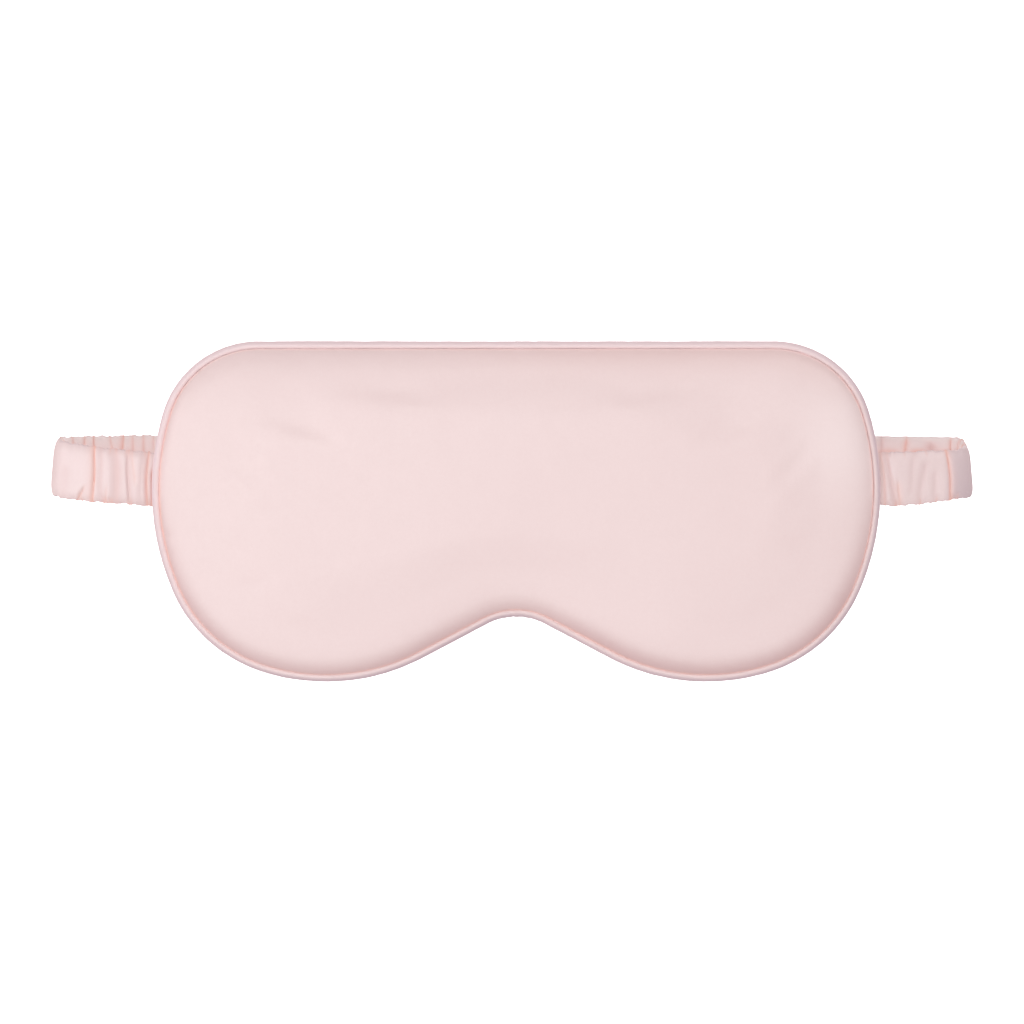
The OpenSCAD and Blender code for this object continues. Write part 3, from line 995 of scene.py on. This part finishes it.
def make_bar_tack(side):
    """Dense slanting stitches across both faces of the strap's end, inside the seam."""
    prefix = "left" if side < 0 else "right"
    rng = np.random.default_rng(71 + side)
    points, faces = [], []
    for depth in TACK_DEPTHS:
        dip = 0.3 if depth == min(TACK_DEPTHS) else -0.3
        for height in np.arange(-ELASTIC_HALF, ELASTIC_HALF, 0.9):
            z = SEWN_Z + height
            near, far = rng.uniform(100.9, 101.2), rng.uniform(102.2, 102.5)
            ends = [np.array([side * x, depth, z + slant]) for x, slant in ((near, 0.0), (far, 0.5))]
            start, end = ends if side > 0 else ends[::-1]
            capsule(points, faces, start, end, 0.16, dip)
    name = f"{prefix}_bar_tack_stitches"
    obj = new_object(name, np.array(points), faces)
    dress(obj, THREAD)
    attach(obj, "mask")
    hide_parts(f"{prefix}_bar_tack")


# ---------------------------------------------------------------- scene


def soft_light(name, place, size, power):
    """A rectangular softbox that points at the middle of the mask."""
    data = bpy.data.lights.new(name, "AREA")
    data.shape = "RECTANGLE"
    data.size, data.size_y = size
    data.energy = power
    obj = bpy.data.objects.new(name, data)
    bpy.context.scene.collection.objects.link(obj)
    obj.location = place
    obj.visible_camera = False
    aim(obj, (0, 0, 0))


def aim(obj, target):
    """Turns a lamp or the camera so that it looks at a point."""
    direction = Vector(target) - obj.location
    obj.rotation_euler = direction.to_track_quat("-Z", "Y").to_euler()


def make_camera():
    """Long lens, a little above the mask, with the mask a touch to the right of the middle."""
    data = bpy.data.cameras.new("camera")
    distance, picture_w, sensor = 1.2, 0.2962, 36.0
    data.lens = sensor * distance / picture_w
    data.sensor_width = sensor
    data.clip_start = 0.05
    obj = bpy.data.objects.new("camera", data)
    bpy.context.scene.collection.objects.link(obj)
    target = (-0.0012, SEAM_Y * MM, 0.0)
    tilt = math.radians(7)
    obj.location = (target[0], target[1] - distance * math.cos(tilt), distance * math.sin(tilt))
    aim(obj, target)
    bpy.context.scene.camera = obj


def make_stage():
    """Pale floor that curves up into a white dome all round, which only the camera sees."""
    floor_z, radius, bend, turns = -600.0, 5000.0, 1500.0, 48
    profile = [(1.0, floor_z), (radius - bend, floor_z)]
    for i in range(1, 9):
        a = math.pi / 2 * i / 8
        profile.append((radius - bend + bend * math.sin(a), floor_z + bend - bend * math.cos(a)))
    for i in range(1, 13):
        a = math.pi / 2 * i / 12.5
        profile.append((radius * math.cos(a), floor_z + bend + radius * math.sin(a)))
    points = []
    for r, z in profile:
        for i in range(turns):
            a = 2 * math.pi * i / turns
            points.append((r * math.cos(a), r * math.sin(a), z))
    obj = new_object("floor", points, grid_faces(len(profile), turns))
    mat = bpy.data.materials.new("pale_floor")
    mat.use_nodes = True
    shader = mat.node_tree.nodes["Principled BSDF"]
    shader.inputs["Base Color"].default_value = (0.9, 0.9, 0.9, 1)
    shader.inputs["Roughness"].default_value = 0.9
    shader.inputs["Emission Color"].default_value = (1, 1, 1, 1)
    shader.inputs["Emission Strength"].default_value = 1.0
    obj.data.materials.append(mat)
    obj.visible_diffuse = False
    obj.visible_glossy = False
    obj.visible_shadow = False


def make_lights():
    """White surroundings, and softboxes in front, at the left, at the upper right and behind."""
    world = bpy.data.worlds.new("studio")
    world.use_nodes = True
    background = world.node_tree.nodes["Background"]
    background.inputs["Color"].default_value = (1, 1, 1, 1)
    background.inputs["Strength"].default_value = 1.05
    bpy.context.scene.world = world
    world.cycles_visibility.glossy = False
    soft_light("low_key", (-0.25, -1.25, -0.25), (1.0, 0.6), 1.4)
    soft_light("front", (-0.3, -1.3, 0.15), (0.9, 0.5), 1.1)
    soft_light("side", (-1.25, -0.7, 0.05), (1.3, 1.2), 3.2)
    soft_light("corner", (0.9, -0.9, 0.9), (0.7, 0.7), 0.8)
    soft_light("rear", (0.3, 1.2, 0.6), (0.9, 0.9), 2.5)


make_camera()
make_stage()
make_lights()
bpy.context.scene.view_settings.view_transform = "Standard"

make_pad()
make_piping()
make_stitches()
for strap_side in (-1, 1):
    make_strap(strap_side)
    make_bar_tack(strap_side)

for cad_node, cad_material, cad_slot in (
    ("front_wadding", WADDING, "wadding"),
    ("back_wadding", WADDING, "wadding"),
    ("blackout_liner", LINER, "liner"),
    ("piping_cord", CORD, "cord"),
    ("seam_thread", THREAD, "thread"),
):
    dress(frame["nodes"][cad_node], cad_material)
